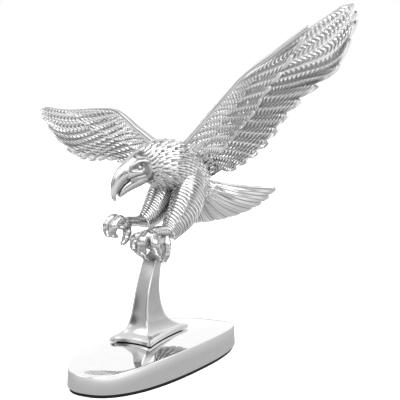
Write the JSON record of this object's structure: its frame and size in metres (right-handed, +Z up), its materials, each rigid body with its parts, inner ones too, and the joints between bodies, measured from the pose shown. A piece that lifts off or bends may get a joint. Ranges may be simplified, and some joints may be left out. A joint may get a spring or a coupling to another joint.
{
  "type": "hood ornament",
  "caption": "Chromed cast eagle swooping with raised wings, clutching the top of a curved post on a domed oval base plate with an adhesive pad below",
  "frame": {"origin": "centre of the underside of the adhesive pad, which rests on the hood", "axes": "+Z up, -Y the way the eagle faces, +X its left wing, which is the higher one"},
  "size_m": [0.1251, 0.0946, 0.1209],
  "materials": {
    "chrome": "bright chrome plating on a zinc die casting",
    "steel": "plain steel fasteners hidden inside",
    "foam": "black foam adhesive pad"
  },
  "bodies": {
    "root": {"mounting_pad": "foam", "base_plate": "chrome", "front_screw": "steel", "rear_screw": "steel", "front_washer": "steel", "rear_washer": "steel", "pedestal": "chrome", "post_pin": "steel", "eagle_body": "chrome", "left_wing": "chrome", "right_wing": "chrome", "left_wing_pin": "steel", "right_wing_pin": "steel", "tail_fan": "chrome", "left_leg": "chrome", "right_leg": "chrome", "left_leg_dowel": "steel", "right_leg_dowel": "steel"}
  },
  "joints": []
}
